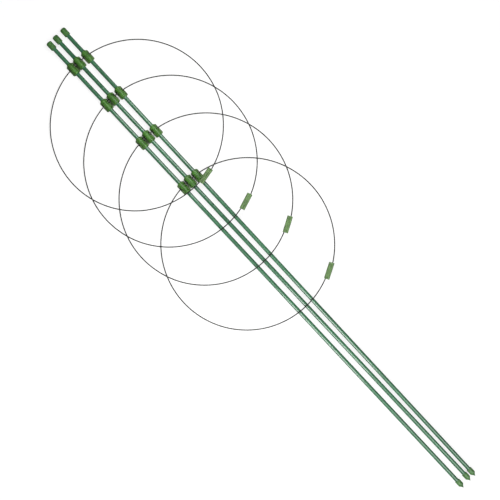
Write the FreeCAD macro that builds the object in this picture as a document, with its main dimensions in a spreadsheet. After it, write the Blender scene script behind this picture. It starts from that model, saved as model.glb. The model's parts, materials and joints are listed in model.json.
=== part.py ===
import FreeCAD, Part
import os
import re
from math import asin, atan2, degrees, pi

import Sketcher

# A folding support for climbing plants: three coated stakes, four wire rings
# and the clips that carry the rings on the stakes. It lies folded on its clips.
# X runs along the stakes from the caps to the ground tips, Y across them, Z up.
# The origin is the middle of the box around the support, on the surface below it.

# Driving sizes in millimetres
SIZES = {
    # The stake: a steel tube in a plastic coating, with a cap and a ground tip
    "stake_length": 1200,
    "tube_diameter": 7.2,
    "tube_wall": 0.5,
    "coating_thickness": 0.4,
    "push_fit": 0.05,
    "cap_length": 17.5,
    "cap_diameter": 12,
    "cap_crown": 3,
    "cap_round": 2.9,
    "tip_diameter": 10.8,
    "tip_collar_length": 12,
    "tip_cone_length": 3.4,
    "tip_nib_length": 3.2,
    "tip_shoulder_round": 1,
    "nib_diameter": 3.8,
    "nib_end_diameter": 1.2,
    "tip_socket_depth": 11,
    # Where the stakes lie beside each other
    "middle_stake_y": 3,
    "middle_stake_drift": 1.6,
    "left_clips_apart": 0.2,
    "right_clips_apart": 3.8,
    "left_tips_apart": 8.5,
    "right_tips_apart": 2.4,
    "left_stake_shift": 0.65,
    "middle_stake_shift": -0.2,
    "right_stake_shift": -0.6,
    # The clip: a collar on the stake, an ear each side and a floor under the wire
    "slide_fit": 0.1,
    "clip_length": 25.4,
    "clip_width": 17,
    "ear_length": 24.2,
    "ear_root_drop": 2,
    "ear_side_drop": 5,
    "ear_corner_round": 2.6,
    "collar_wall": 1.3,
    "collar_end_round": 0.5,
    "clip_floor": 1.4,
    "floor_edge_cut": 1.5,
    "wire_offset": 3.2,
    "slot_clearance": 0.3,
    # The ring: one length of wire, both ends side by side in a sleeve
    "wire_diameter": 2.2,
    "wire_gap": 0.3,
    "wire_spread": 4.2,
    "ring_radius": 170.5,
    "wire_end_overlap": 12,
    "sleeve_length": 34,
    "sleeve_side_wall": 1.6,
    "sleeve_face_wall": 1.2,
    "sleeve_edge_round": 0.5,
    # The levels of the rings along the stakes, and how the rings lie on each other
    "first_level_place": 68.5,
    "second_level_step": 96.9,
    "third_level_step": 102.2,
    "fourth_level_step": 120.8,
    "stack_step": 2.65,
}

# Angle in degrees of each ring's sleeve from the stakes, at the ring's far side
SLEEVE_ANGLES = [11, 19.2, 30, 29]

# Sizes worked out from the driving ones
WORKED_OUT = {
    "stake_radius": "tube_diameter / 2 + coating_thickness",
    "socket_radius": "stake_radius + push_fit",
    "tip_length": "tip_collar_length + tip_cone_length + tip_nib_length",
    "tube_length": "stake_length - cap_crown - (tip_length - tip_socket_depth)",
    "bore_radius": "stake_radius + slide_fit",
    "collar_radius": "bore_radius + collar_wall",
    "wire_radius": "wire_diameter / 2",
    "middle_top_y": "middle_stake_y - middle_stake_drift / 2",
    "middle_tips_y": "middle_stake_y + middle_stake_drift / 2",
    "left_reach_top": "clip_width + left_clips_apart",
    "left_reach_tips": "tip_diameter + left_tips_apart",
    "right_reach_top": "clip_width + right_clips_apart",
    "right_reach_tips": "tip_diameter + right_tips_apart",
    "right_stake_y": "middle_top_y + right_reach_top",
    "wire_drift": "right_stake_y ^ 2 / (2 * ring_radius)",
    "wire_lift": "(right_stake_y + collar_radius) ^ 2 / (2 * ring_radius)",
    "wire_drop": "stake_radius + wire_gap + wire_radius + wire_lift",
    "slot_floor": "wire_drop + wire_radius + wire_gap",
    "slot_roof": "bore_radius / sqrt(2)",
    "slot_half": "wire_drift + wire_radius + slot_clearance",
    "clip_drop": "slot_floor + clip_floor",
    "wire_shift": "wire_spread / 4",
    "sleeve_sag": "sleeve_length ^ 2 / (8 * ring_radius)",
    "cavity_round": "wire_radius + wire_gap",
    "cavity_half_span": "(wire_spread + sleeve_sag) / 2",
    "sleeve_round": "cavity_round + sleeve_face_wall",
    "sleeve_half_span": "cavity_half_span + sleeve_side_wall - sleeve_face_wall",
    "far_side_height": "tip_diameter / 2 + wire_radius + wire_gap",
    "overlap_angle": "wire_end_overlap / ring_radius * 180 / pi",
}

AXIS_X = FreeCAD.Vector(1, 0, 0)
AXIS_Y = FreeCAD.Vector(0, 1, 0)
AXIS_Z = FreeCAD.Vector(0, 0, 1)
# A sketch's origin, as its constraints name it
ORIGIN_POINT = (-1, 1)
# How far apart two numbers may be and still count as the same
ROUNDING = 1e-4
# A cut that goes right through is this many times as long as the piece
CUT_THROUGH = 2

doc = FreeCAD.newDocument("plant_support")
sheet = doc.addObject("Spreadsheet::Sheet", "Sizes")
named_parts = []


def fill_sheet():
    for row, (name, number) in enumerate(SIZES.items(), start=1):
        sheet.set(f"A{row}", name)
        sheet.set(f"B{row}", str(number))
        sheet.setAlias(f"B{row}", name)
    doc.recompute()


def formula(text):
    """Write a formula of size names out in cells of the sheet."""

    def cell(match):
        name = match.group()
        if name in SIZES:
            return f"Sizes.{name}"
        if name in WORKED_OUT:
            return f"({formula(WORKED_OUT[name])})"
        return name

    return re.sub(r"[a-z][a-z0-9_]*", cell, text)


def size(text):
    """The number that a formula of size names comes to."""
    return float(sheet.evalExpression(formula(text)))


def bind(target, path, text):
    target.setExpression(path, formula(text))


def moved(x, y, z):
    return FreeCAD.Placement(FreeCAD.Vector(x, y, z), FreeCAD.Rotation())


def turned(axis, angle):
    return FreeCAD.Placement(FreeCAD.Vector(), FreeCAD.Rotation(axis, angle))


# Sketches and features

def new_body(label):
    body = doc.addObject("PartDesign::Body", label)
    body.Label = label
    named_parts.append(body)
    return body


def new_sketch(body, name, plane_role):
    plane = next(item for item in body.Origin.OriginFeatures if item.Role == plane_role)
    sketch = body.newObject("Sketcher::SketchObject", name)
    sketch.AttachmentSupport = [(plane, "")]
    sketch.MapMode = "FlatFace"
    return sketch


def hold_point(sketch, point, x, y):
    """Fix a point of a sketch at the formulas x and y, counted from the origin."""
    for kind, text, axis in (("DistanceX", x, -2), ("DistanceY", y, -1)):
        if text == "0":
            sketch.addConstraint(Sketcher.Constraint("PointOnObject", *point, axis))
        else:
            number = size(text)
            index = sketch.addConstraint(Sketcher.Constraint(kind, *ORIGIN_POINT, *point, number))
            bind(sketch, f"Constraints[{index}]", text)


def add_outline(sketch, points):
    """Draw a closed outline of straight lines through points given as formulas."""
    places = [FreeCAD.Vector(size(x), size(y), 0) for x, y in points]
    lines = []
    for start, end in zip(places, places[1:] + places[:1]):
        lines.append(sketch.addGeometry(Part.LineSegment(start, end)))
    for line, following in zip(lines, lines[1:] + lines[:1]):
        sketch.addConstraint(Sketcher.Constraint("Coincident", line, 2, following, 1))
    for line, (x, y) in zip(lines, points):
        hold_point(sketch, (line, 1), x, y)


def add_circle(sketch, radius):
    circle = Part.Circle(FreeCAD.Vector(), AXIS_Z, size(radius))
    index = sketch.addGeometry(circle)
    sketch.addConstraint(Sketcher.Constraint("Coincident", index, 3, *ORIGIN_POINT))
    held = sketch.addConstraint(Sketcher.Constraint("Radius", index, size(radius)))
    bind(sketch, f"Constraints[{held}]", radius)


def add_oblong(sketch, half_span, radius):
    """Draw two half circles, half_span either side of the origin, joined by lines."""
    a = size(half_span)
    r = size(radius)
    right_end = Part.Circle(FreeCAD.Vector(a, 0, 0), AXIS_Z, r)
    left_end = Part.Circle(FreeCAD.Vector(-a, 0, 0), AXIS_Z, r)
    top = sketch.addGeometry(Part.LineSegment(FreeCAD.Vector(-a, r, 0), FreeCAD.Vector(a, r, 0)))
    base = sketch.addGeometry(Part.LineSegment(FreeCAD.Vector(a, -r, 0), FreeCAD.Vector(-a, -r, 0)))
    right = sketch.addGeometry(Part.ArcOfCircle(right_end, -pi / 2, pi / 2))
    left = sketch.addGeometry(Part.ArcOfCircle(left_end, pi / 2, 3 * pi / 2))
    sketch.addConstraint(Sketcher.Constraint("Tangent", top, 2, right, 2))
    sketch.addConstraint(Sketcher.Constraint("Tangent", base, 1, right, 1))
    sketch.addConstraint(Sketcher.Constraint("Tangent", top, 1, left, 1))
    sketch.addConstraint(Sketcher.Constraint("Tangent", base, 2, left, 2))
    sketch.addConstraint(Sketcher.Constraint("Symmetric", right, 3, left, 3, *ORIGIN_POINT))
    hold_point(sketch, (right, 3), half_span, "0")
    held = sketch.addConstraint(Sketcher.Constraint("Radius", right, r))
    bind(sketch, f"Constraints[{held}]", radius)


def pad(body, sketch, name, length, midplane=False):
    feature = body.newObject("PartDesign::Pad", name)
    feature.Profile = sketch
    feature.Midplane = midplane
    bind(feature, "Length", length)
    doc.recompute()
    return feature


def pocket(body, sketch, name, length):
    feature = body.newObject("PartDesign::Pocket", name)
    feature.Profile = sketch
    feature.Midplane = True
    bind(feature, "Length", length)
    doc.recompute()
    return feature


def turn_solid(body, sketch, name):
    feature = body.newObject("PartDesign::Revolution", name)
    feature.Profile = sketch
    feature.ReferenceAxis = (sketch, ["H_Axis"])
    feature.Angle = 360
    doc.recompute()
    return feature


def round_edges(body, base, name, radius, wanted):
    """Round the edges of base whose middle point the test wanted picks."""
    names = []
    for number, edge in enumerate(base.Shape.Edges, start=1):
        if wanted(edge, edge.valueAt((edge.FirstParameter + edge.LastParameter) / 2)):
            names.append(f"Edge{number}")
    feature = body.newObject("PartDesign::Fillet", name)
    feature.Base = (base, names)
    bind(feature, "Radius", radius)
    doc.recompute()
    return feature


def near(one, other):
    return abs(one - other) < ROUNDING * max(1, abs(one), abs(other))


def is_circle(edge, radius):
    return isinstance(edge.Curve, Part.Circle) and near(edge.Curve.Radius, radius)


# Stakes

def stake_frame(reach_top, reach_tips, shift):
    """Placement of a stake's middle; the reaches count across from the middle stake."""
    y_top = size("middle_top_y") + reach_top
    y_tips = size("middle_tips_y") + reach_tips
    lean = degrees(atan2(y_tips - y_top, size("stake_length")))
    centre = moved(size(shift), (y_top + y_tips) / 2, size("clip_drop"))
    return centre * turned(AXIS_Z, lean)


def stake_layer(label, outer_radius, inner_radius):
    """A round tube along X that ends at the cap's crown and at the tip's socket."""
    body = new_body(label)
    sketch = new_sketch(body, f"{label}_section", "YZ_Plane")
    add_circle(sketch, outer_radius)
    add_circle(sketch, inner_radius)
    pad(body, sketch, f"{label}_length", "tube_length")
    return body


def stake_cap(label):
    """A cup pushed over the stake's upper end; its crown lies at X zero."""
    body = new_body(label)
    sketch = new_sketch(body, f"{label}_profile", "XY_Plane")
    add_outline(sketch, [
        ("0", "0"),
        ("0", "cap_diameter / 2"),
        ("cap_length", "cap_diameter / 2"),
        ("cap_length", "socket_radius"),
        ("cap_crown", "socket_radius"),
        ("cap_crown", "0"),
    ])
    cup = turn_solid(body, sketch, f"{label}_cup")
    rim = size("cap_diameter / 2")
    round_edges(body, cup, f"{label}_crown", "cap_round",
                lambda edge, middle: is_circle(edge, rim) and near(middle.x, 0))
    return body


def ground_tip(label):
    """A pointed cup pushed over the stake's lower end; its open end lies at X zero."""
    body = new_body(label)
    sketch = new_sketch(body, f"{label}_profile", "XY_Plane")
    add_outline(sketch, [
        ("0", "socket_radius"),
        ("0", "tip_diameter / 2"),
        ("tip_collar_length", "tip_diameter / 2"),
        ("tip_collar_length + tip_cone_length", "nib_diameter / 2"),
        ("tip_length", "nib_end_diameter / 2"),
        ("tip_length", "0"),
        ("tip_socket_depth", "0"),
        ("tip_socket_depth", "socket_radius"),
    ])
    point = turn_solid(body, sketch, f"{label}_point")
    rim = size("tip_diameter / 2")
    shoulder = size("tip_collar_length")
    round_edges(body, point, f"{label}_shoulder", "tip_shoulder_round",
                lambda edge, middle: is_circle(edge, rim) and near(middle.x, shoulder))
    return body


def build_stake(side, frame):
    start = moved(-size("stake_length") / 2, 0, 0)
    tube_start = moved(size("cap_crown"), 0, 0)
    tip_start = moved(size("stake_length - tip_length"), 0, 0)
    tube = stake_layer(f"{side}_stake_tube", "tube_diameter / 2", "tube_diameter / 2 - tube_wall")
    tube.Placement = frame * start * tube_start
    coating = stake_layer(f"{side}_stake_coating", "stake_radius", "tube_diameter / 2")
    coating.Placement = frame * start * tube_start
    cap = stake_cap(f"{side}_stake_cap")
    cap.Placement = frame * start
    tip = ground_tip(f"{side}_ground_tip")
    tip.Placement = frame * start * tip_start


# Clips

def build_clip(label):
    """A clip whose bore runs along X, with a slot for the wire under the bore along Y."""
    body = new_body(label)
    section = new_sketch(body, f"{label}_section", "YZ_Plane")
    add_outline(section, [
        ("clip_width / 2 - floor_edge_cut", "-clip_drop"),
        ("clip_width / 2", "floor_edge_cut - clip_drop"),
        ("clip_width / 2", "-ear_side_drop"),
        ("bore_radius", "-ear_root_drop"),
        ("-bore_radius", "-ear_root_drop"),
        ("-clip_width / 2", "-ear_side_drop"),
        ("-clip_width / 2", "floor_edge_cut - clip_drop"),
        ("floor_edge_cut - clip_width / 2", "-clip_drop"),
    ])
    ears = pad(body, section, f"{label}_ears", "ear_length", midplane=True)
    side = size("clip_width / 2")
    ear_end = size("ear_length / 2")
    round_edges(body, ears, f"{label}_corners", "ear_corner_round",
                lambda edge, middle: near(abs(middle.x), ear_end) and near(abs(middle.y), side))

    collar_section = new_sketch(body, f"{label}_collar_section", "YZ_Plane")
    add_circle(collar_section, "collar_radius")
    collar = pad(body, collar_section, f"{label}_collar", "clip_length", midplane=True)
    collar_end = size("clip_length / 2")
    round_edges(body, collar, f"{label}_collar_ends", "collar_end_round",
                lambda edge, middle: near(abs(middle.x), collar_end))

    bore_section = new_sketch(body, f"{label}_bore_section", "YZ_Plane")
    add_circle(bore_section, "bore_radius")
    pocket(body, bore_section, f"{label}_bore", f"{CUT_THROUGH} * clip_length")

    slot_section = new_sketch(body, f"{label}_slot_section", "XZ_Plane")
    add_outline(slot_section, [
        ("-wire_offset - slot_half", "-slot_floor"),
        ("slot_half - wire_offset", "-slot_floor"),
        ("slot_half - wire_offset", "-slot_roof"),
        ("-wire_offset - slot_half", "-slot_roof"),
    ])
    pocket(body, slot_section, f"{label}_slot", f"{CUT_THROUGH} * clip_width")
    return body


def clip_frame(frame, level_x):
    """Placement of a clip on a stake, with its slot where the wire crosses the stake."""
    along = frame.Rotation.multVec(AXIS_X)
    start = frame.Base
    y = start.y + along.y / along.x * (level_x - start.x)
    drift = y ** 2 / (2 * size("ring_radius"))
    x = level_x + drift + size("wire_offset")
    return FreeCAD.Placement(FreeCAD.Vector(x, y, start.z), frame.Rotation)


# Rings

def level_places():
    """X of the wire where it crosses the stakes, level by level."""
    places = [size("first_level_place - stake_length / 2")]
    for step in ("second_level_step", "third_level_step", "fourth_level_step"):
        places.append(places[-1] + size(step))
    return places


def ring_frame(level, level_x):
    """Placement of a ring: its centre, with X towards the sleeve and Z square to the ring."""
    rings_below = len(SLEEVE_ANGLES) - level
    far_height = size("far_side_height") + rings_below * size("stack_step")
    tilt = degrees(asin((far_height + size("wire_drop")) / size("2 * ring_radius")))
    hinge = moved(level_x, 0, size("clip_drop - wire_drop"))
    centre = hinge * turned(AXIS_Y, -tilt) * moved(size("ring_radius"), 0, 0)
    return centre * turned(AXIS_Z, SLEEVE_ANGLES[level - 1])


def wire_half(label, sign, start_angle):
    """Half a turn of wire; the two halves end side by side and meet opposite the sleeve."""
    half = doc.addObject("Part::Torus", label)
    bind(half, "Radius1", f"ring_radius {sign} wire_shift")
    bind(half, "Radius2", "wire_radius")
    bind(half, "Angle3", "180 + overlap_angle")
    centre = moved(size(f"{sign}wire_shift"), 0, 0)
    half.Placement = centre * turned(AXIS_Z, start_angle)
    return half


def build_ring(label, placement):
    outer = wire_half(f"{label}_outer_half", "+", -size("overlap_angle"))
    inner = wire_half(f"{label}_inner_half", "-", 180)
    ring = doc.addObject("Part::Fuse", label)
    ring.Label = label
    ring.Base = outer
    ring.Tool = inner
    ring.Placement = placement
    named_parts.append(ring)


def build_sleeve(label, placement):
    """A flat tube along Y that holds both wire ends side by side."""
    body = new_body(label)
    section = new_sketch(body, f"{label}_section", "XZ_Plane")
    add_oblong(section, "sleeve_half_span", "sleeve_round")
    outside = pad(body, section, f"{label}_outside", "sleeve_length", midplane=True)
    end = size("sleeve_length / 2")
    round_edges(body, outside, f"{label}_ends", "sleeve_edge_round",
                lambda edge, middle: near(abs(middle.y), end))
    cavity_section = new_sketch(body, f"{label}_cavity_section", "XZ_Plane")
    add_oblong(cavity_section, "cavity_half_span", "cavity_round")
    pocket(body, cavity_section, f"{label}_cavity", f"{CUT_THROUGH} * sleeve_length")
    body.Placement = placement * moved(size("ring_radius - sleeve_sag / 2"), 0, 0)


def build_support():
    frames = {
        "left": stake_frame(-size("left_reach_top"), -size("left_reach_tips"), "left_stake_shift"),
        "middle": stake_frame(0, 0, "middle_stake_shift"),
        "right": stake_frame(size("right_reach_top"), size("right_reach_tips"), "right_stake_shift"),
    }
    for side, frame in frames.items():
        build_stake(side, frame)
    for level, level_x in enumerate(level_places(), start=1):
        for side, frame in frames.items():
            clip = build_clip(f"clip_{level}_{side}")
            clip.Placement = clip_frame(frame, level_x)
        placement = ring_frame(level, level_x)
        build_ring(f"ring_{level}", placement)
        build_sleeve(f"ring_{level}_sleeve", placement)
    doc.recompute()


def check_document():
    for item in doc.Objects:
        if "Invalid" in item.State or "Error" in item.State:
            raise RuntimeError(f"{item.Label} failed: {item.State}")
    for part in named_parts:
        if part.Shape.isNull() or not part.Shape.isValid():
            raise RuntimeError(f"{part.Label} has no valid shape")
        if len(part.Shape.Solids) != 1:
            raise RuntimeError(f"{part.Label} is not one solid")


def write_parts():
    os.makedirs("parts", exist_ok=True)
    for part in named_parts:
        part.Shape.exportStep(f"parts/{part.Label}.step")


def print_parts():
    for part in named_parts:
        box = part.Shape.BoundBox
        print(f"{part.Label}: {part.Shape.Volume:.1f} mm3, "
              f"x {box.XMin:.1f}..{box.XMax:.1f}, y {box.YMin:.1f}..{box.YMax:.1f}, "
              f"z {box.ZMin:.2f}..{box.ZMax:.2f}")


fill_sheet()
build_support()
check_document()
write_parts()
print_parts()
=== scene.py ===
import json
from math import atan2, cos, pi, radians, sin

import bpy
from bpy.props import FloatProperty, FloatVectorProperty, IntProperty, PointerProperty
from mathutils import Matrix, Vector


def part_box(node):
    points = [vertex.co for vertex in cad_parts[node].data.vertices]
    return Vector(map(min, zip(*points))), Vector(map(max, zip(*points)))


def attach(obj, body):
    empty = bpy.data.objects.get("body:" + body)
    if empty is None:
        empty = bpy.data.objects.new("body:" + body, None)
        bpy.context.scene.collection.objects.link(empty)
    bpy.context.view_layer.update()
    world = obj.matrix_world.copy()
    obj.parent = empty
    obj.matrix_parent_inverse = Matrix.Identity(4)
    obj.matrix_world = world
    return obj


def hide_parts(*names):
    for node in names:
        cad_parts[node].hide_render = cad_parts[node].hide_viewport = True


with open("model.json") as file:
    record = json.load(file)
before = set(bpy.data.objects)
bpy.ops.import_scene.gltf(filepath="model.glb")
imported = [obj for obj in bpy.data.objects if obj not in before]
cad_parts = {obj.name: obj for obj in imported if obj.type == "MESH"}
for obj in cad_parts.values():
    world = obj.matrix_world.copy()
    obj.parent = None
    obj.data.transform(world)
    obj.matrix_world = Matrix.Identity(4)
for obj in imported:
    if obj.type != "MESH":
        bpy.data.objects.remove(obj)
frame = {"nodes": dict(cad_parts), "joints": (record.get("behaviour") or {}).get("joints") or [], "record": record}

bl_info = {
    "name": "Climbing Plant Support",
    "version": (1, 0, 0),
    "blender": (4, 5, 0),
    "location": "3D View > Sidebar > Plant Support",
    "description": "Builds the visible pieces of a folding plant support around its frame",
    "category": "Object",
}

MM = 0.001
SIDES = ("left", "middle", "right")
LEVELS = (1, 2, 3, 4)
LAMPS = ("top", "caps", "tips", "ends")
MOUNTS = {mount["name"]: mount for mount in frame["record"]["mounts"]}
JOINTS = {joint["name"]: joint for joint in frame["joints"]}

# Colours of dust and wear, and of a painted sheen on the clips' ears and a painted reflection on the wire in the
# clips
# Painted sheen: the pale tone of the clips' low open surfaces
CLIP_PAINTED_SHEEN = (0.15, 0.23, 0.1)
COAT_DUST = (0.3, 0.42, 0.3)
SCRATCHED_COAT = (0.28, 0.4, 0.3)
RUBBED_WIRE = (0.08, 0.08, 0.07)
# Painted reflection of the green clips on the wire where it lies in them
PAINTED_WIRE_GLINT = (0.28, 0.34, 0.22)
DULL_STEEL = (0.25, 0.22, 0.19)

# The part of a noise's range over which tones change
CLOUD_RANGE = (0.3, 0.7)

# The share of open sky at which the floor's painted shade in narrow gaps starts and is full
FLOOR_GAP_SHADE = (0.3, 0.15)

# Steps round the turned pieces
COAT_STEPS = 32
MOULDING_STEPS = 48
COLLAR_STEPS = 56
WIRE_STEPS = 12

# Sizes of the floor and of small details
FLOOR_SIDE = 12
FLOOR_DROP = 0.05 * MM
MERGE_DISTANCE = 0.001 * MM
SLEEVE_END_ROUND = 0.4 * MM

# How much wider the clip's open slot is at its upper edge and at its outer side
MOUTH_TOP_STRETCH = 1.6
MOUTH_SIDE_STRETCH = 1.8


# Sizes and colours that a user may change

def length(name, millimetres, description):
    return FloatProperty(name=name, description=description, default=millimetres * MM,
                         min=0, precision=5, unit="LENGTH")


def colour(name, red, green, blue, description):
    return FloatVectorProperty(name=name, description=description, subtype="COLOR", size=3,
                               min=0, max=1, default=(red, green, blue))


def point(name, place, description):
    return FloatVectorProperty(name=name, description=description, size=3, default=place,
                               subtype="TRANSLATION", unit="LENGTH")


def lamp_sides(name, sides):
    return FloatVectorProperty(name=name, description="Sides of the lamp", size=2, default=sides,
                               unit="LENGTH")


def watts(name, power):
    return FloatProperty(name=name, description="Power of the lamp in watts", default=power)


class StakeSizes(bpy.types.PropertyGroup):
    """Sizes of a stake's coating, cap and ground tip"""

    stake: length("Stake", 1200, "Length of a stake with its cap and tip")
    coat_radius: length("Coat radius", 4, "Outer radius of the plastic coating")
    tube_radius: length("Tube radius", 3.6, "Outer radius of the steel tube")
    coat_wave: length("Coat wave", 0.05, "How far the coating swells and thins along the stake")
    wave_length: length("Wave length", 35, "Distance between swellings of the coating")
    ring_step: length("Ring step", 8, "Distance between rings of points along the coating")
    socket_radius: length("Socket radius", 4.05, "Radius inside the cap and the tip")
    cap_length: length("Cap length", 17.5, "Length of the cap")
    cap_radius: length("Cap radius", 6, "Outer radius of the cap")
    crown: length("Crown", 3, "Thickness of the cap's closed end")
    crown_round: length("Crown rounding", 3, "Radius round the cap's closed end")
    bead: length("Bead", 1.5, "Width of the bead at the open ends")
    groove: length("Groove", 0.3, "Depth of the groove beside a bead")
    tip_collar: length("Tip collar", 12, "Length of the tip's round collar")
    tip_radius: length("Tip radius", 5.4, "Outer radius of the tip's collar")
    tip_cone: length("Tip cone", 3.4, "Length of the tip's cone")
    tip_nib: length("Tip nib", 3.2, "Length of the nib at the tip's end")
    nib_radius: length("Nib radius", 1.9, "Radius of the nib where it leaves the cone")
    nib_end: length("Nib end", 0.6, "Radius of the nib at its end")
    socket_depth: length("Socket depth", 11, "Depth of the tip's socket")


class ClipSizes(bpy.types.PropertyGroup):
    """Sizes of the clip that holds a ring on a stake"""

    collar_length: length("Collar length", 25.4, "Length of the round collar")
    collar_radius: length("Collar radius", 5.4, "Outer radius of the collar")
    bore_radius: length("Bore radius", 4.1, "Radius of the bore for the stake")
    ear_length: length("Ear length", 24.2, "Length of the ears along the stake")
    width: length("Width", 17, "Width over the ears")
    ear_root_drop: length("Ear root drop", 2, "Depth of the ear's inner edge below the bore's middle")
    ear_side_drop: length("Ear side drop", 5, "Depth of the ear's outer edge below the bore's middle")
    floor_drop: length("Floor drop", 10.56, "Depth of the underside below the bore's middle")
    slot_floor: length("Slot floor", 9.16, "Depth of the wire slot's floor")
    slot_roof: length("Slot roof", 2.9, "Depth of the wire slot's roof under the collar")
    slot_half: length("Slot half width", 2.95, "Half the width of the slot for the wire")
    wire_offset: length("Wire offset", 3.2, "Distance of the slot from the clip's middle")
    corner_round: length("Corner rounding", 2.6, "Radius of the ears' upright corners")
    edge_round: length("Edge rounding", 0.5, "Radius of the moulded edges")


class RingSizes(bpy.types.PropertyGroup):
    """Sizes of the wire rings and the sleeves that join their ends"""

    radius: length("Ring radius", 170.48, "Radius of the ring at the wire's middle")
    wire_radius: length("Wire radius", 1.1, "Radius of the coated wire")
    wire_spread: length("Wire spread", 4.2, "Distance between the two wire ends in the sleeve")
    end_overlap: length("End overlap", 12, "How far each wire end goes past the sleeve's middle")
    wire_wave: length("Wire wave", 0.28, "How far the wire strays from a true circle")
    wave_length: length("Wave length", 60, "Distance between bends in the wire")
    wire_steps: IntProperty(name="Wire steps", description="Sections of wire in half a ring",
                            default=90, min=12)
    sleeve_length: length("Sleeve length", 33.95, "Length of the sleeve")
    sleeve_width: length("Sleeve width", 10.95, "Width of the sleeve")
    sleeve_height: length("Sleeve height", 5.15, "Thickness of the sleeve")
    sleeve_inset: length("Sleeve inset", 0.42, "How far the sleeve's middle lies inside the ring")
    sleeve_wall: length("Sleeve wall", 1.2, "Wall of the sleeve")
    sleeve_round: length("Sleeve rounding", 2.5, "Radius of the sleeve's long edges")
    sleeve_groove: length("Sleeve groove", 0.4, "Depth of the groove along the sleeve")


class Finishes(bpy.types.PropertyGroup):
    """Colours of the plastics, the coated wire and the steel"""

    stake: colour("Stake", 0.04, 0.17, 0.078, "Coating of the stakes")
    clip: colour("Clip", 0.062, 0.195, 0.026, "Moulded clips")
    cap: colour("Cap", 0.07, 0.2, 0.05, "Caps on the stakes' upper ends")
    tip: colour("Tip", 0.09, 0.22, 0.07, "Tips on the stakes' lower ends")
    sleeve: colour("Sleeve", 0.115, 0.215, 0.068, "Sleeves that join the ring ends")
    wire: colour("Wire", 0.007, 0.006, 0.003, "Coated ring wire")
    steel: colour("Steel", 0.45, 0.46, 0.47, "Drawn steel tube")


class StageSettings(bpy.types.PropertyGroup):
    """Camera, lamps and floor"""

    view_width: FloatProperty(name="View width", default=0.986, unit="LENGTH",
                              description="Width of the scene across the picture")
    view_turn: FloatProperty(name="View turn", default=radians(46.94), subtype="ANGLE",
                             description="Turn of the camera about the upright axis")
    centre: point("View centre", (-0.0289, -0.0036, 0.01), "Point in the middle of the picture")
    lens: FloatProperty(name="Lens", default=100, description="Focal length in millimetres")
    top_lamp: point("Top lamp", (1.3, 0, 3.2), "Place of the large lamp over the object")
    top_size: lamp_sides("Top lamp size", (2.9, 1.7))
    top_power: watts("Top lamp power", 28)
    caps_lamp: point("Caps lamp", (-0.36, 0.36, 0.68), "Place of the lamp beside the caps")
    caps_size: lamp_sides("Caps lamp size", (0.32, 0.5))
    caps_power: watts("Caps lamp power", 3.8)
    tips_lamp: point("Tips lamp", (0.25, -0.48, 0.52), "Place of the lamp beside the tips")
    tips_size: lamp_sides("Tips lamp size", (0.3, 0.5))
    tips_power: watts("Tips lamp power", 4)
    ends_lamp: point("Ends lamp", (1, 0, 1.2), "Place of the lamp beyond the tips")
    ends_size: lamp_sides("Ends lamp size", (0.8, 1.2))
    ends_power: watts("Ends lamp power", 8)
    world_light: FloatProperty(name="World light", default=0.06,
                               description="Strength of the light from all round")
    floor_colour: colour("Floor", 0.25, 0.25, 0.25, "Floor as the object sees it")
    floor_glow: FloatProperty(name="Floor glow", default=0.82,
                              description="How much brighter the camera sees the floor")
    # Painted shade on the floor in narrow gaps between pieces
    gap_shade_reach: length("Gap reach", 15, "How far off pieces darken the floor in narrow gaps")


# Where the frame puts each piece

def frame_at(origin, x_axis, z_axis):
    """Matrix at a point, with Z along z_axis and X as near x_axis as that allows."""
    z = Vector(z_axis).normalized()
    y = z.cross(Vector(x_axis)).normalized()
    x = y.cross(z)
    matrix = Matrix((x, y, z)).transposed().to_4x4()
    matrix.translation = origin
    return matrix


def stake_frame(side):
    """The middle of a stake's crown, with X down the stake."""
    mount = MOUNTS[f"{side}_ground_tip"]
    along = Vector(mount["axis"])
    place = Vector(mount["pos_m"])
    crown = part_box(f"{side}_stake_cap")[0]
    start = place + along * (crown.x - place.x) / along.x
    return frame_at(start, along, (0, 0, 1))


def clip_frame(level, side):
    """The middle of a clip's bore, with X down the stake."""
    low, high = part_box(f"clip_{level}_{side}")
    mount = MOUNTS[f"{side}_ground_tip"]
    middle = (low + high) / 2
    middle.z = mount["pos_m"][2]
    return frame_at(middle, mount["axis"], (0, 0, 1))


def ring_frame(level):
    """The middle of a ring, with X towards its sleeve and Z square to the ring."""
    joint = JOINTS[f"ring_{level}_sleeve_slide"]
    centre = Vector(joint["pos_m"])
    low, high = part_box(f"ring_{level}_sleeve")
    return frame_at(centre, (low + high) / 2 - centre, joint["axis"])


# Modelling

def deselect_all():
    bpy.ops.object.select_all(action="DESELECT")


def make_active(piece):
    deselect_all()
    piece.select_set(True)
    bpy.context.view_layer.objects.active = piece


def edit(piece):
    make_active(piece)
    bpy.ops.object.mode_set(mode="EDIT")


def leave_edit():
    bpy.ops.object.mode_set(mode="OBJECT")


def apply_place():
    bpy.ops.object.transform_apply(location=True, rotation=True, scale=True)


def named(name):
    piece = bpy.context.active_object
    piece.name = name
    piece.data.name = name
    return piece


def pick(piece, kind, wanted):
    """Select the faces or edges of a piece that a test picks, and stay in edit mode."""
    edit(piece)
    bpy.ops.mesh.select_mode(type=kind)
    bpy.ops.mesh.select_all(action="DESELECT")
    leave_edit()
    for part in piece.data.polygons if kind == "FACE" else piece.data.edges:
        corners = [piece.data.vertices[i].co for i in part.vertices]
        part.select = wanted(corners)
    bpy.ops.object.mode_set(mode="EDIT")


def bevel_edges(piece, wanted, width, segments):
    pick(piece, "EDGE", wanted)
    bpy.ops.mesh.bevel(offset=width, segments=segments, affect="EDGES")
    leave_edit()


def close_up():
    """Merge doubles and point all faces outwards, in edit mode."""
    bpy.ops.mesh.select_mode(type="VERT")
    bpy.ops.mesh.select_all(action="SELECT")
    bpy.ops.mesh.remove_doubles(threshold=MERGE_DISTANCE)
    bpy.ops.mesh.normals_make_consistent(inside=False)


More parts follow.
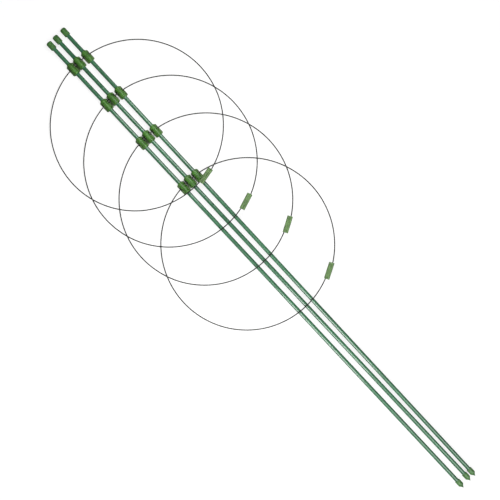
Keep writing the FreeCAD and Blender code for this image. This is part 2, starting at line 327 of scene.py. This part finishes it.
def box_piece(name, low, high):
    deselect_all()
    sizes = [b - a for a, b in zip(low, high)]
    middle = [(a + b) / 2 for a, b in zip(low, high)]
    bpy.ops.mesh.primitive_cube_add(size=1, location=middle, scale=sizes)
    apply_place()
    return named(name)


def turned_piece(name, profile, steps):
    """Draw a profile of (x, radius) points from one vertex and spin it round the X axis."""
    deselect_all()
    bpy.ops.mesh.primitive_plane_add(size=MM)
    piece = named(name)
    bpy.ops.object.mode_set(mode="EDIT")
    bpy.ops.mesh.select_mode(type="VERT")
    bpy.ops.mesh.merge(type="CENTER")
    bpy.ops.transform.translate(value=(profile[0][0], 0, profile[0][1]))
    for start, end in zip(profile, profile[1:]):
        step = (end[0] - start[0], 0, end[1] - start[1])
        bpy.ops.mesh.extrude_region_move(TRANSFORM_OT_translate={"value": step})
    bpy.ops.mesh.select_all(action="SELECT")
    bpy.ops.mesh.spin(steps=steps, angle=2 * pi, center=(0, 0, 0), axis=(1, 0, 0))
    close_up()
    leave_edit()
    return piece


def arc(x, radius, bend, start, end, steps=5):
    """Points of a rounded corner of a profile, between two angles in degrees."""
    angles = [radians(start + (end - start) * i / steps) for i in range(steps + 1)]
    return [(x + bend * cos(a), radius + bend * sin(a)) for a in angles]


def use_modifier(piece, kind, **settings):
    """Add a modifier with these settings and apply it."""
    make_active(piece)
    modifier = piece.modifiers.new(kind.lower(), kind)
    for setting, value in settings.items():
        setattr(modifier, setting, value)
    bpy.ops.object.modifier_apply(modifier=modifier.name)


def combine(piece, tool, operation):
    """Join a tool to a piece or cut it away, and delete the tool."""
    use_modifier(piece, "BOOLEAN", operation=operation, object=tool, solver="EXACT")
    bpy.data.objects.remove(tool)


def wave(name, size):
    """A soft noise texture that pushes points of a piece about."""
    texture = bpy.data.textures.new(name, "CLOUDS")
    texture.cloud_type = "COLOR"
    texture.noise_scale = size
    texture.noise_depth = 1
    return texture


def smooth_by(piece, degrees):
    make_active(piece)
    bpy.ops.object.shade_smooth_by_angle(angle=radians(degrees))


def place_piece(piece, place, node, body, material):
    """Put a piece in its place for good, in its finish, on the body that carries it."""
    piece.matrix_world = place
    make_active(piece)
    apply_place()
    piece.data.materials.clear()
    piece.data.materials.append(material)
    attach(piece, body)
    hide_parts(node)


def copy_piece(model, name):
    """A copy of a model with a mesh of its own."""
    piece = model.copy()
    piece.data = model.data.copy()
    piece.name = name
    piece.data.name = name
    bpy.context.scene.collection.objects.link(piece)
    return piece


# Finishes

class Finish:
    """A procedural material that is wired up node by node on Object coordinates."""

    def __init__(self, name):
        self.material = bpy.data.materials.new(name)
        self.material.use_nodes = True
        self.tree = self.material.node_tree
        self.shader = self.tree.nodes["Principled BSDF"]
        self.places = self.node("ShaderNodeTexCoord").outputs["Object"]

    def node(self, kind, **settings):
        made = self.tree.nodes.new(kind)
        for setting, value in settings.items():
            setattr(made, setting, value)
        return made

    def link(self, source, target):
        self.tree.links.new(source, target)

    def stretched(self, scale):
        """Object coordinates in metres, scaled on each axis."""
        mapping = self.node("ShaderNodeMapping")
        mapping.inputs["Scale"].default_value = scale
        self.link(self.places, mapping.inputs["Vector"])
        return mapping.outputs["Vector"]

    def noise(self, scale, detail=3, places=None):
        made = self.node("ShaderNodeTexNoise")
        made.inputs["Scale"].default_value = scale
        made.inputs["Detail"].default_value = detail
        self.link(places or self.places, made.inputs["Vector"])
        return made.outputs["Fac"]

    def spread(self, value, low, high, to_low=0.0, to_high=1.0):
        """Stretch the part of a value between low and high over a new range."""
        made = self.node("ShaderNodeMapRange")
        self.link(value, made.inputs["Value"])
        made.inputs["From Min"].default_value = low
        made.inputs["From Max"].default_value = high
        made.inputs["To Min"].default_value = to_low
        made.inputs["To Max"].default_value = to_high
        return made.outputs["Result"]

    def maths(self, operation, one, other):
        made = self.node("ShaderNodeMath", operation=operation)
        for value, socket in ((one, made.inputs[0]), (other, made.inputs[1])):
            if isinstance(value, (int, float)):
                socket.default_value = value
            else:
                self.link(value, socket)
        return made.outputs["Value"]

    def mix(self, share, one, other):
        """Mix two colours, each given as numbers or as a socket."""
        made = self.node("ShaderNodeMix", data_type="RGBA")
        pairs = ((share, made.inputs[0]), (one, made.inputs[6]), (other, made.inputs[7]))
        for value, socket in pairs:
            if isinstance(value, bpy.types.NodeSocket):
                self.link(value, socket)
            elif isinstance(value, (int, float)):
                socket.default_value = value
            else:
                socket.default_value = (*value, 1)
        return made.outputs[2]

    def edges(self, radius):
        """A mask of the convex and concave edges, by how a bevel would turn the surface."""
        bevel = self.node("ShaderNodeBevel", samples=4)
        bevel.inputs["Radius"].default_value = radius
        surface = self.node("ShaderNodeNewGeometry").outputs["Normal"]
        likeness = self.node("ShaderNodeVectorMath", operation="DOT_PRODUCT")
        self.link(bevel.outputs["Normal"], likeness.inputs[0])
        self.link(surface, likeness.inputs[1])
        return self.spread(likeness.outputs["Value"], 0.99, 0.8)

    def recesses(self, reach, open_share=0.75, closed_share=0.15):
        """A mask of the places from which little of the sky can be seen within a reach."""
        depth = self.node("ShaderNodeAmbientOcclusion", samples=8)
        depth.inputs["Distance"].default_value = reach
        return self.spread(depth.outputs["AO"], open_share, closed_share)

    def relief(self, height, depth, below=None):
        bump = self.node("ShaderNodeBump")
        bump.inputs["Strength"].default_value = 1
        bump.inputs["Distance"].default_value = depth
        self.link(height, bump.inputs["Height"])
        if below:
            self.link(below, bump.inputs["Normal"])
        return bump.outputs["Normal"]

    def set(self, **values):
        for name, value in values.items():
            socket = self.shader.inputs[name.replace("_", " ").title()]
            socket.default_value = value


def shade_of(colour_value, factor):
    return tuple(min(1, part * factor) for part in colour_value)


def moulded_plastic(name, base, roughness, painted_light_height=0.0):
    """Moulded polypropylene: cloudy pigment, a fine mould texture, scuffs and pale edges.

    Below the given height the open surfaces get a pale painted sheen and the closed ones painted shade, nearly
    black; elsewhere hollows get a lighter painted shade.
    """
    finish = Finish(name)
    clouds = finish.noise(90)
    tone = finish.mix(finish.spread(clouds, *CLOUD_RANGE), shade_of(base, 0.78), shade_of(base, 1.2))
    specks = finish.spread(finish.noise(1400, 2), 0.6, 0.75)
    tone = finish.mix(finish.maths("MULTIPLY", specks, 0.35), tone, shade_of(base, 1.7))
    scuffs = finish.spread(finish.noise(420, 6, finish.stretched((0.25, 1, 1))), 0.58, 0.7)
    rubbed = finish.maths("MULTIPLY", finish.edges(0.5 * MM), finish.spread(clouds, 0.35, 0.65))
    worn = finish.maths("MAXIMUM", finish.maths("MULTIPLY", scuffs, 0.4), rubbed)
    pale = tuple(0.55 * part + 0.12 for part in shade_of(base, 1.5))
    tone = finish.mix(finish.maths("MULTIPLY", worn, 0.5), tone, pale)
    # Painted light below the ear tops: a pale painted sheen on the open surfaces and deep painted shade in the
    # pits between the clips
    if painted_light_height:
        height = finish.node("ShaderNodeSeparateXYZ")
        finish.link(finish.places, height.inputs[0])
        low = finish.spread(height.outputs["Z"], painted_light_height, painted_light_height - MM)
        painted_sheen = finish.maths("MULTIPLY", low, finish.spread(clouds, *CLOUD_RANGE, 0.4, 0.9))
        tone = finish.mix(painted_sheen, tone, CLIP_PAINTED_SHEEN)
        shadow = finish.maths("MULTIPLY", finish.recesses(14 * MM, 0.5, 0.3), 0.9)
    else:
        shadow = finish.maths("MULTIPLY", finish.recesses(5 * MM), 0.65)
    # Painted shade: hollows are darkened towards nearly black
    tone = finish.mix(shadow, tone, shade_of(base, 0.16))
    finish.link(tone, finish.shader.inputs["Base Color"])
    dull = finish.maths("ADD", finish.spread(clouds, *CLOUD_RANGE, roughness - 0.06, roughness + 0.06),
                        finish.maths("MULTIPLY", worn, 0.15))
    finish.link(dull, finish.shader.inputs["Roughness"])
    grain = finish.relief(finish.noise(2600, 2), 0.03 * MM)
    finish.link(finish.relief(clouds, 0.12 * MM, grain), finish.shader.inputs["Normal"])
    return finish.material


def stake_coating(base):
    """Extruded coating: long faint flow lines, slow changes of tone, scratches, dust and painted shade in hollows.
    """
    finish = Finish("stake_coating")
    slow = finish.noise(1, 2, finish.stretched((9, 60, 60)))
    tone = finish.mix(finish.spread(slow, *CLOUD_RANGE), shade_of(base, 0.8), shade_of(base, 1.22))
    lines = finish.noise(1, 3, finish.stretched((6, 1500, 1500)))
    tone = finish.mix(finish.spread(lines, 0.35, 0.7, 0, 0.35), tone, shade_of(base, 0.6))
    dust = finish.spread(finish.noise(900, 4), 0.62, 0.75, 0, 0.4)
    tone = finish.mix(dust, tone, COAT_DUST)
    scratches = finish.spread(finish.noise(1, 5, finish.stretched((40, 1100, 1100))), 0.66, 0.72)
    tone = finish.mix(finish.maths("MULTIPLY", scratches, 0.35), tone, SCRATCHED_COAT)
    # Painted shade where little sky is seen near other pieces
    shadow = finish.maths("MULTIPLY", finish.recesses(5 * MM), 0.5)
    tone = finish.mix(shadow, tone, shade_of(base, 0.2))
    finish.link(tone, finish.shader.inputs["Base Color"])
    dull = finish.maths("ADD", finish.spread(slow, *CLOUD_RANGE, 0.26, 0.38),
                        finish.maths("MULTIPLY", scratches, 0.2))
    finish.link(dull, finish.shader.inputs["Roughness"])
    fine = finish.relief(lines, 0.04 * MM)
    finish.link(finish.relief(finish.noise(500, 3), 0.03 * MM, fine), finish.shader.inputs["Normal"])
    finish.set(coat_weight=1, coat_roughness=0.12)
    return finish.material


def coated_wire(base):
    """Thin dark coating on spring wire, with rubbed specks, a pale green painted reflection where it lies in the
    clips, and small bumps.
    """
    finish = Finish("ring_wire")
    clouds = finish.noise(70, 3)
    tone = finish.mix(finish.spread(clouds, *CLOUD_RANGE), shade_of(base, 0.75), shade_of(base, 1.3))
    rubbed = finish.spread(finish.noise(650, 5), 0.6, 0.72)
    tone = finish.mix(finish.maths("MULTIPLY", rubbed, 0.3), tone, RUBBED_WIRE)
    # Painted reflection: the wire is paler and greener in the clips' hollows
    tone = finish.mix(finish.recesses(8 * MM, 0.6, 0.35), tone, PAINTED_WIRE_GLINT)
    finish.link(tone, finish.shader.inputs["Base Color"])
    finish.link(finish.spread(clouds, *CLOUD_RANGE, 0.5, 0.65), finish.shader.inputs["Roughness"])
    bumps = finish.relief(finish.noise(1800, 2), 0.03 * MM)
    finish.link(finish.relief(finish.noise(350, 2), 0.05 * MM, bumps), finish.shader.inputs["Normal"])
    return finish.material


def drawn_steel(base):
    """Bright drawn tube: fine lines along it and dull patches."""
    finish = Finish("bare_steel")
    lines = finish.noise(1, 4, finish.stretched((12, 2600, 2600)))
    tone = finish.mix(finish.spread(lines, 0.35, 0.65), shade_of(base, 0.75), shade_of(base, 1.15))
    patches = finish.spread(finish.noise(60, 4), 0.5, 0.7)
    tone = finish.mix(finish.maths("MULTIPLY", patches, 0.4), tone, DULL_STEEL)
    finish.link(tone, finish.shader.inputs["Base Color"])
    finish.link(finish.spread(patches, 0, 1, 0.28, 0.5), finish.shader.inputs["Roughness"])
    finish.link(finish.relief(lines, 0.02 * MM), finish.shader.inputs["Normal"])
    finish.set(metallic=1)
    return finish.material


# The pieces

class PLANT_OT_stake_coatings(bpy.types.Operator):
    """Make the plastic coating of each stake"""

    bl_idname = "plant.stake_coatings"
    bl_label = "Stake Coatings"

    def execute(self, context):
        sizes = context.scene.plant_stake
        material = stake_coating(context.scene.plant_finishes.stake)
        start = sizes.crown
        end = sizes.stake - sizes.tip_collar - sizes.tip_cone - sizes.tip_nib + sizes.socket_depth
        profile = [
            (start, sizes.tube_radius),
            (start, sizes.coat_radius),
            (end, sizes.coat_radius),
            (end, sizes.tube_radius),
            (start, sizes.tube_radius),
        ]
        model = turned_piece("coating_model", profile, steps=COAT_STEPS)
        pick(model, "EDGE", lambda corners: abs(corners[0].x - corners[1].x) > (end - start) / 2)
        bpy.ops.mesh.subdivide(number_cuts=round((end - start) / sizes.ring_step))
        leave_edit()
        for side in SIDES:
            name = f"{side}_stake_coat"
            coat = copy_piece(model, name)
            coat.matrix_world = stake_frame(side)
            make_active(coat)
            apply_place()
            use_modifier(coat, "DISPLACE", texture=wave(f"{name}_wave", sizes.wave_length),
                         strength=sizes.coat_wave, mid_level=0.7, texture_coords="LOCAL")
            smooth_by(coat, degrees=40)
            place_piece(coat, Matrix(), f"{side}_stake_coating", f"{side}_stake",
                        material)
        bpy.data.objects.remove(model)
        return {"FINISHED"}


class PLANT_OT_stake_caps(bpy.types.Operator):
    """Make the cap on each stake's upper end"""

    bl_idname = "plant.stake_caps"
    bl_label = "Stake Caps"

    def execute(self, context):
        sizes = context.scene.plant_stake
        material = moulded_plastic("cap_plastic", context.scene.plant_finishes.cap, 0.42)
        bend = sizes.crown_round
        rim = sizes.cap_length
        waist = rim - sizes.bead
        low = sizes.cap_radius - sizes.groove
        dish = sizes.groove
        profile = [(dish, 0), (dish / 3, sizes.cap_radius / 3)]
        profile += arc(bend + dish / 8, sizes.cap_radius - bend, bend, 180, 90, steps=6)
        profile += [
            (waist - 3 * sizes.groove, sizes.cap_radius),
            (waist - 2 * sizes.groove, low),
            (waist - sizes.groove, low),
            (waist, sizes.cap_radius),
            (rim - sizes.groove, sizes.cap_radius),
            (rim, low),
            (rim, sizes.socket_radius + sizes.groove),
            (rim - sizes.groove, sizes.socket_radius),
            (sizes.crown, sizes.socket_radius),
            (sizes.crown, 0),
        ]
        model = turned_piece("cap_model", profile, steps=MOULDING_STEPS)
        smooth_by(model, degrees=30)
        for side in SIDES:
            cap = copy_piece(model, f"{side}_cap")
            place_piece(cap, stake_frame(side), f"{side}_stake_cap", f"{side}_stake",
                        material)
        bpy.data.objects.remove(model)
        return {"FINISHED"}


class PLANT_OT_ground_tips(bpy.types.Operator):
    """Make the pointed tip on each stake's lower end"""

    bl_idname = "plant.ground_tips"
    bl_label = "Ground Tips"

    def execute(self, context):
        sizes = context.scene.plant_stake
        material = moulded_plastic("tip_plastic", context.scene.plant_finishes.tip, 0.42)
        shoulder = sizes.tip_collar
        cone_end = shoulder + sizes.tip_cone
        end = cone_end + sizes.tip_nib
        low = sizes.tip_radius - sizes.groove
        bend = sizes.nib_end
        profile = [
            (sizes.socket_depth, 0),
            (sizes.socket_depth, sizes.socket_radius),
            (sizes.groove, sizes.socket_radius),
            (0, sizes.socket_radius + sizes.groove),
            (0, low),
            (sizes.groove, sizes.tip_radius),
            (sizes.bead, sizes.tip_radius),
            (sizes.bead + sizes.groove, low),
            (sizes.bead + 2 * sizes.groove, low),
            (sizes.bead + 3 * sizes.groove, sizes.tip_radius),
        ]
        profile += arc(shoulder - MM, sizes.tip_radius - MM, MM, 90, 45, steps=4)
        profile += [
            (cone_end - sizes.groove, sizes.nib_radius + sizes.groove),
            (cone_end + sizes.groove, sizes.nib_radius - sizes.groove / 3),
        ]
        profile += arc(end - bend, 0, bend, 80, 0, steps=4)
        model = turned_piece("tip_model", profile, steps=MOULDING_STEPS)
        smooth_by(model, degrees=30)
        start = Matrix.Translation((sizes.stake - end, 0, 0))
        for side in SIDES:
            tip = copy_piece(model, f"{side}_tip")
            place_piece(tip, stake_frame(side) @ start, f"{side}_ground_tip", f"{side}_stake",
                        material)
        bpy.data.objects.remove(model)
        return {"FINISHED"}


class PLANT_OT_clips(bpy.types.Operator):
    """Make the clips that hold the rings on the stakes"""

    bl_idname = "plant.clips"
    bl_label = "Clips"

    def block(self, sizes):
        """The ears with their sloping tops, on the floor under the wire."""
        half = sizes.ear_length / 2
        side = sizes.width / 2
        block = box_piece("clip_model", (-half, -side, -sizes.floor_drop),
                          (half, side, -sizes.ear_side_drop))
        pick(block, "FACE", lambda corners: all(c.z > -sizes.slot_floor for c in corners))
        rise = sizes.ear_side_drop - sizes.ear_root_drop
        bpy.ops.mesh.extrude_region_move(TRANSFORM_OT_translate={"value": (0, 0, rise)})
        bpy.ops.transform.resize(value=(1, sizes.bore_radius / side, 1))
        leave_edit()
        bevel_edges(block, lambda corners: (
            corners[0].x * corners[1].x > 0 and abs(corners[0].z - corners[1].z) > MM),
            sizes.corner_round, segments=5)
        bevel_edges(block, lambda corners: (
            max(corners[0].z, corners[1].z) < -sizes.slot_floor), 3 * sizes.edge_round, segments=1)
        use_modifier(block, "BEVEL", width=sizes.edge_round, segments=3, limit_method="ANGLE",
                     angle_limit=radians(25))
        return block

    def collar(self, sizes):
        half = sizes.collar_length / 2
        bend = 2 * sizes.edge_round
        corner = sizes.collar_radius - bend
        profile = [(-half, 0)]
        profile += arc(bend - half, corner, bend, 180, 90)
        profile += arc(half - bend, corner, bend, 90, 0)
        profile += [(half, 0)]
        return turned_piece("clip_collar", profile, steps=COLLAR_STEPS)

    def bore(self, sizes):
        half = sizes.collar_length / 2
        flare = sizes.edge_round
        profile = [
            (-half - flare, 0),
            (-half - flare, sizes.bore_radius + 2 * flare),
            (flare - half, sizes.bore_radius),
            (half - flare, sizes.bore_radius),
            (half + flare, sizes.bore_radius + 2 * flare),
            (half + flare, 0),
        ]
        return turned_piece("clip_bore", profile, steps=MOULDING_STEPS)

    def slot(self, sizes):
        """The passage for the wire, under the bore and through both ears."""
        low = -sizes.wire_offset - sizes.slot_half
        high = sizes.slot_half - sizes.wire_offset
        cutter = box_piece("clip_slot", (low, -sizes.width, -sizes.slot_floor),
                           (high, sizes.width, -sizes.slot_roof))
        bevel_edges(cutter, lambda corners: abs(corners[0].y - corners[1].y) > sizes.width,
                    2 * sizes.edge_round, segments=3)
        return cutter

    def mouth(self, sizes, sign):
        """The open top of the slot in one ear, wider at its upper edge and outwards."""
        low = -sizes.wire_offset - sizes.slot_half
        high = sizes.slot_half - sizes.wire_offset
        start = sizes.collar_radius + sizes.edge_round
        near, far = sorted((sign * start, sign * sizes.width))
        cutter = box_piece("clip_mouth", (low, near, -sizes.slot_floor + 2 * sizes.edge_round),
                           (high, far, 0))
        pick(cutter, "FACE", lambda corners: all(c.z > -MM for c in corners))
        bpy.ops.transform.resize(value=(MOUTH_TOP_STRETCH, 1, 1))
        leave_edit()
        pick(cutter, "FACE", lambda corners: all(abs(c.y) > sizes.width - MM for c in corners))
        bpy.ops.transform.resize(value=(MOUTH_SIDE_STRETCH, 1, 1))
        leave_edit()
        return cutter

    def execute(self, context):
        sizes = context.scene.plant_clip
        ear_top = MOUNTS["middle_ground_tip"]["pos_m"][2] - sizes.ear_root_drop
        material = moulded_plastic("clip_plastic", context.scene.plant_finishes.clip, 0.45,
                                   painted_light_height=ear_top)
        model = self.block(sizes)
        combine(model, self.collar(sizes), "UNION")
        combine(model, self.slot(sizes), "DIFFERENCE")
        for sign in (-1, 1):
            combine(model, self.mouth(sizes, sign), "DIFFERENCE")
        combine(model, self.bore(sizes), "DIFFERENCE")
        smooth_by(model, degrees=35)
        for level in LEVELS:
            for side in SIDES:
                name = f"clip_{level}_{side}"
                clip = copy_piece(model, f"{name}_moulding")
                place_piece(clip, clip_frame(level, side), name, name, material)
        bpy.data.objects.remove(model)
        return {"FINISHED"}


class PLANT_OT_rings(bpy.types.Operator):
    """Make the wire rings"""

    bl_idname = "plant.rings"
    bl_label = "Wire Rings"

    def wire(self, sizes):
        """One length of wire, bent round from the outer place in the sleeve to the inner one."""
        deselect_all()
        shift = sizes.wire_spread / 4
        bend = sizes.radius + shift
        overlap = sizes.end_overlap / bend
        start = (shift + bend * cos(overlap), -bend * sin(overlap), 0)
        bpy.ops.mesh.primitive_circle_add(vertices=WIRE_STEPS, radius=sizes.wire_radius,
                                          location=start, rotation=(pi / 2, 0, -overlap))
        apply_place()
        wire = named("wire_model")
        bpy.ops.object.mode_set(mode="EDIT")
        bpy.ops.mesh.select_all(action="SELECT")
        for centre in (shift, -shift):
            bpy.ops.mesh.spin(steps=sizes.wire_steps, angle=pi + overlap, center=(centre, 0, 0),
                              axis=(0, 0, -1))
        bpy.ops.mesh.select_all(action="SELECT")
        bpy.ops.mesh.fill_holes(sides=0)
        close_up()
        leave_edit()
        return wire

    def execute(self, context):
        sizes = context.scene.plant_ring
        material = coated_wire(context.scene.plant_finishes.wire)
        model = self.wire(sizes)
        for level in LEVELS:
            name = f"ring_{level}"
            ring = copy_piece(model, f"{name}_wire")
            place_piece(ring, ring_frame(level), name, name, material)
            use_modifier(ring, "DISPLACE", texture=wave(f"{name}_wave", sizes.wave_length),
                         strength=sizes.wire_wave, texture_coords="LOCAL", direction="RGB_TO_XYZ")
            smooth_by(ring, degrees=60)
        bpy.data.objects.remove(model)
        return {"FINISHED"}


class PLANT_OT_sleeves(bpy.types.Operator):
    """Make the sleeves that join the ring ends"""

    bl_idname = "plant.sleeves"
    bl_label = "Ring Sleeves"

    def model(self, sizes):
        """A flat open tube along Y with rounded long edges."""
        half = Vector((sizes.sleeve_width, sizes.sleeve_length, sizes.sleeve_height)) / 2
        sleeve = box_piece("sleeve_model", -half, half)
        bevel_edges(sleeve, lambda corners: abs(corners[0].y - corners[1].y) > half.y,
                    sizes.sleeve_round, segments=6)
        pick(sleeve, "FACE", lambda corners: abs(sum(c.y for c in corners)) > half.y)
        bpy.ops.mesh.inset(thickness=sizes.sleeve_wall)
        bpy.ops.mesh.bridge_edge_loops()
        close_up()
        leave_edit()
        use_modifier(sleeve, "BEVEL", width=SLEEVE_END_ROUND, segments=3, limit_method="ANGLE",
                     angle_limit=radians(60))
        for sign in (-1, 1):
            deselect_all()
            far = half.z + sizes.sleeve_round - sizes.sleeve_groove
            bpy.ops.mesh.primitive_cylinder_add(vertices=MOULDING_STEPS, radius=sizes.sleeve_round,
                                                depth=2 * sizes.sleeve_length,
                                                location=(0, 0, sign * far), rotation=(pi / 2, 0, 0))
            combine(sleeve, named("sleeve_groove"), "DIFFERENCE")
        return sleeve

    def execute(self, context):
        sizes = context.scene.plant_ring
        material = moulded_plastic("sleeve_plastic", context.scene.plant_finishes.sleeve, 0.5)
        model = self.model(sizes)
        smooth_by(model, degrees=35)
        out = Matrix.Translation((sizes.radius - sizes.sleeve_inset, 0, 0))
        for level in LEVELS:
            name = f"ring_{level}_sleeve"
            sleeve = copy_piece(model, f"{name}_moulding")
            place_piece(sleeve, ring_frame(level) @ out, name, name, material)
        bpy.data.objects.remove(model)
        return {"FINISHED"}


class PLANT_OT_steel_tubes(bpy.types.Operator):
    """Finish the steel tubes inside the coatings"""

    bl_idname = "plant.steel_tubes"
    bl_label = "Steel Tubes"

    def execute(self, context):
        material = drawn_steel(context.scene.plant_finishes.steel)
        for side in SIDES:
            tube = frame["nodes"][f"{side}_stake_tube"]
            for place in tube.material_slots:
                place.material = material
        return {"FINISHED"}


class PLANT_OT_stage(bpy.types.Operator):
    """Set up the floor, the lamps and the camera"""

    bl_idname = "plant.stage"
    bl_label = "Stage"

    def floor(self, stage):
        """A plain floor that the camera sees as white, with the object's shadow on it and painted shade in narrow
        gaps between pieces.
        """
        deselect_all()
        bpy.ops.mesh.primitive_plane_add(size=FLOOR_SIDE, location=(0, 0, -FLOOR_DROP))
        apply_place()
        floor = named("floor")
        matt = Finish("floor")
        matt.set(base_color=(*stage.floor_colour, 1), roughness=0.9)
        glow = matt.node("ShaderNodeEmission")
        rays = matt.node("ShaderNodeLightPath")
        # Painted shade: the camera's glow is taken off the floor in narrow gaps between pieces
        gaps = matt.recesses(stage.gap_shade_reach, *FLOOR_GAP_SHADE)
        seen = matt.maths("MULTIPLY", rays.outputs["Is Camera Ray"], stage.floor_glow)
        strength = matt.maths("MULTIPLY", seen, matt.maths("SUBTRACT", 1, gaps))
        matt.link(strength, glow.inputs["Strength"])
        both = matt.node("ShaderNodeAddShader")
        matt.link(matt.shader.outputs["BSDF"], both.inputs[0])
        matt.link(glow.outputs["Emission"], both.inputs[1])
        output = matt.tree.nodes["Material Output"]
        matt.link(both.outputs["Shader"], output.inputs["Surface"])
        floor.data.materials.append(matt.material)

    def world(self, stage):
        """Even light from all round, with a white backdrop."""
        world = bpy.data.worlds.new("studio")
        bpy.context.scene.world = world
        world.use_nodes = True
        tree = world.node_tree
        background = tree.nodes["Background"]
        background.inputs["Color"].default_value = (1, 1, 1, 1)
        rays = tree.nodes.new("ShaderNodeLightPath")
        strength = tree.nodes.new("ShaderNodeMapRange")
        tree.links.new(rays.outputs["Is Camera Ray"], strength.inputs["Value"])
        strength.inputs["To Min"].default_value = stage.world_light
        strength.inputs["To Max"].default_value = 1
        tree.links.new(strength.outputs["Result"], background.inputs["Strength"])

    def lamp(self, name, place, size, power):
        """A soft oblong lamp that shines square across the stakes."""
        deselect_all()
        bpy.ops.object.light_add(type="AREA", location=place)
        lamp = named(name)
        lamp.rotation_euler = (-atan2(place[1], place[2]), 0, 0)
        lamp.data.shape = "RECTANGLE"
        lamp.data.size, lamp.data.size_y = size
        lamp.data.energy = power

    def camera(self, stage):
        """A camera straight above the object, turned so that the stakes run as in the picture."""
        deselect_all()
        bpy.ops.object.camera_add()
        camera = bpy.context.active_object
        camera.name = "camera"
        camera.data.lens = stage.lens
        distance = stage.view_width * stage.lens / camera.data.sensor_width
        camera.location = Vector(stage.centre) + Vector((0, 0, distance))
        camera.rotation_euler = (0, 0, stage.view_turn)
        bpy.context.scene.camera = camera

    def execute(self, context):
        stage = context.scene.plant_stage
        self.floor(stage)
        self.world(stage)
        for lamp in LAMPS:
            place = getattr(stage, f"{lamp}_lamp")
            size = getattr(stage, f"{lamp}_size")
            self.lamp(f"{lamp}_lamp", place, size, getattr(stage, f"{lamp}_power"))
        self.camera(stage)
        context.scene.view_settings.view_transform = "Standard"
        return {"FINISHED"}


class PLANT_PT_panel(bpy.types.Panel):
    """Buttons and settings of the plant support"""

    bl_label = "Plant Support"
    bl_space_type = "VIEW_3D"
    bl_region_type = "UI"
    bl_category = "Plant Support"

    def draw(self, context):
        for operator in OPERATORS:
            self.layout.operator(operator.bl_idname)
        for group in SETTINGS:
            settings = getattr(context.scene, group)
            box = self.layout.box()
            for name in settings.bl_rna.properties.keys():
                if name not in ("name", "rna_type"):
                    box.prop(settings, name)


OPERATORS = (
    PLANT_OT_steel_tubes,
    PLANT_OT_stake_coatings,
    PLANT_OT_stake_caps,
    PLANT_OT_ground_tips,
    PLANT_OT_clips,
    PLANT_OT_rings,
    PLANT_OT_sleeves,
    PLANT_OT_stage,
)
SETTINGS = {
    "plant_stake": StakeSizes,
    "plant_clip": ClipSizes,
    "plant_ring": RingSizes,
    "plant_finishes": Finishes,
    "plant_stage": StageSettings,
}


def register():
    for name, group in SETTINGS.items():
        bpy.utils.register_class(group)
        setattr(bpy.types.Scene, name, PointerProperty(type=group))
    for operator in OPERATORS:
        bpy.utils.register_class(operator)
    bpy.utils.register_class(PLANT_PT_panel)


def unregister():
    bpy.utils.unregister_class(PLANT_PT_panel)
    for operator in reversed(OPERATORS):
        bpy.utils.unregister_class(operator)
    for name, group in SETTINGS.items():
        delattr(bpy.types.Scene, name)
        bpy.utils.unregister_class(group)


def corners(bounds):
    return [list(corner) for corner in bounds]


def main():
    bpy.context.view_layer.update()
    register()
    for operator in OPERATORS:
        group, name = operator.bl_idname.split(".")
        getattr(getattr(bpy.ops, group), name)()


if __name__ == "__main__":
    main()
